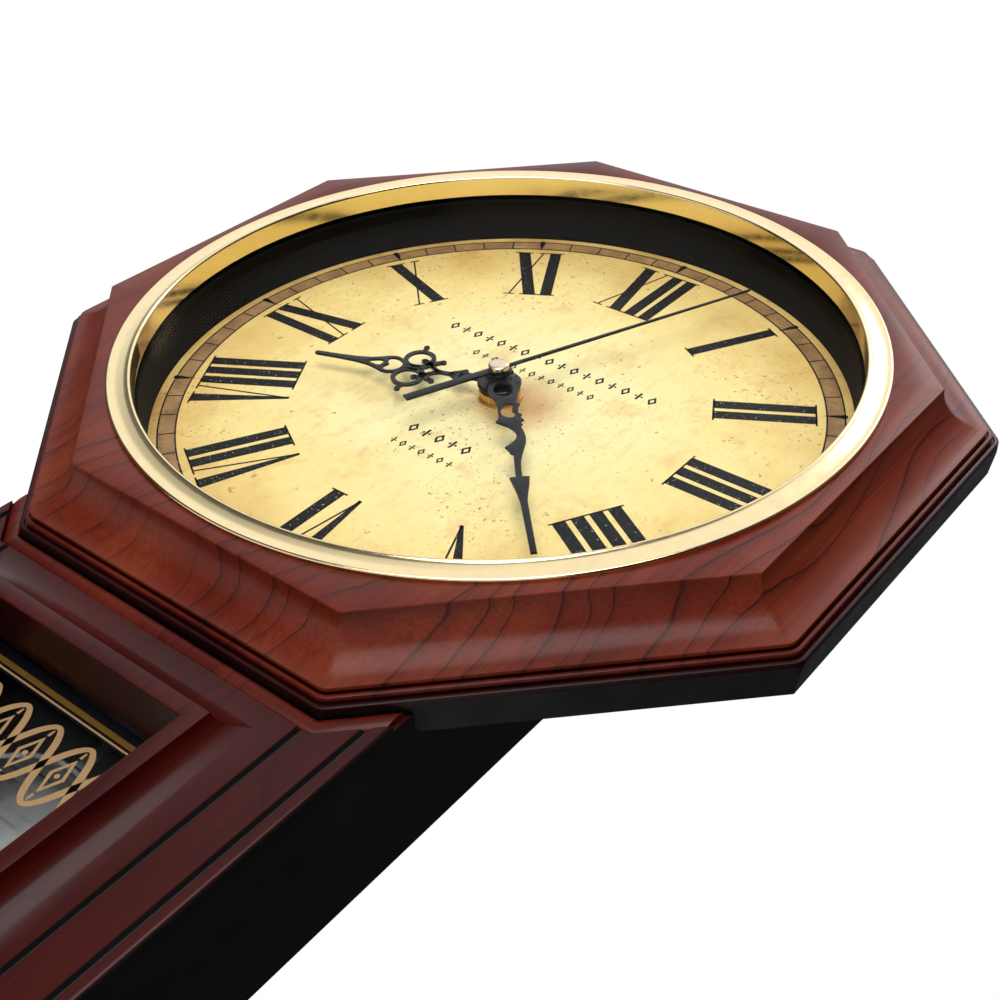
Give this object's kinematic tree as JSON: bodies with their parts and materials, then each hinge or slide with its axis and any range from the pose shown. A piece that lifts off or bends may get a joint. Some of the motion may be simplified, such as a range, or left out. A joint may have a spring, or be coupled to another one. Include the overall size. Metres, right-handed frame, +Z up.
{
  "type": "pendulum wall clock",
  "caption": "Octagonal drop-case wall clock: moulded wood-look frame, gilt bezel over a roman dial, three hands, glazed lower case with a swinging pendulum.",
  "frame": {"origin": "centre of the hanging keyhole, on the wall plane", "axes": "+X to the right seen from the front, +Y into the wall, +Z up; the dial faces -Y"},
  "size_m": [0.294, 0.0669, 0.4487],
  "materials": {
    "veneer": "satin",
    "case_black": "satin",
    "gilt": "gloss",
    "glass": "gloss",
    "dial_card": "matte",
    "printed_glass": "gloss",
    "zinc": "satin",
    "movement_black": "matte",
    "brass_parts": "gloss",
    "board": "satin",
    "coil_wire": "satin",
    "cell_wrap": "gloss",
    "spring_steel": "satin",
    "white_nylon": "satin",
    "hand_black": "gloss",
    "bob_metal": "satin"
  },
  "bodies": {
    "case": {"head_frame": "veneer", "head_shell": "case_black", "bezel": "gilt", "dial_glass": "glass", "well_ring": "case_black", "dial": "dial_card", "drop_frame": "veneer", "rear_case": "case_black", "back_panel": "case_black", "window_glass": "printed_glass", "glass_retainer": "case_black", "retainer_screws": "zinc", "frame_screws": "zinc", "shell_screws": "zinc", "panel_screws": "zinc", "hanger_plate": "zinc", "hanger_rivets": "zinc", "movement_housing": "movement_black", "movement_cover": "movement_black", "cover_screws": "zinc", "shaft_bushing": "brass_parts", "dial_washer": "brass_parts", "shaft_nut": "brass_parts", "circuit_board": "board", "step_motor_coil": "coil_wire", "pendulum_coil": "coil_wire", "battery": "cell_wrap", "battery_contact_plus": "spring_steel", "battery_contact_minus": "spring_steel", "pendulum_pivot": "spring_steel"},
    "minute_works": {"minute_pipe": "brass_parts", "minute_hand": "hand_black"},
    "hour_works": {"hour_wheel": "white_nylon", "hour_hand": "hand_black"},
    "second_works": {"second_arbor": "spring_steel", "second_hand": "hand_black", "second_cap": "brass_parts"},
    "setting_works": {"setting_wheel": "white_nylon", "setting_knob": "movement_black"},
    "pendulum": {"pendulum_lever": "white_nylon", "drive_magnet": "spring_steel", "pendulum_rod": "bob_metal", "pendulum_bob": "bob_metal", "rating_nut": "brass_parts"}
  },
  "joints": [
    {"name": "minute_turn", "type": "hinge", "parent": "case", "child": "minute_works", "pos_m": [0, -0.0366, -0.086], "axis": [0, -1, 0], "continuous": true},
    {"name": "hour_turn", "type": "hinge", "parent": "case", "child": "hour_works", "pos_m": [0, -0.0366, -0.086], "axis": [0, -1, 0], "continuous": true},
    {"name": "second_turn", "type": "hinge", "parent": "case", "child": "second_works", "pos_m": [0, -0.0366, -0.086], "axis": [0, -1, 0], "continuous": true},
    {"name": "setting_turn", "type": "hinge", "parent": "case", "child": "setting_works", "pos_m": [0.00714, -0.0196, -0.07886], "axis": [0, -1, 0], "continuous": true},
    {"name": "pendulum_swing", "type": "hinge", "parent": "case", "child": "pendulum", "pos_m": [0, -0.0166, -0.104], "axis": [0, -1, 0], "range_deg": [-5, 5]}
  ],
  "couplings": [
    {"joint": "hour_turn", "follows": "minute_turn", "ratio": 0.083333},
    {"joint": "setting_turn", "follows": "minute_turn", "ratio": -0.33333}
  ]
}
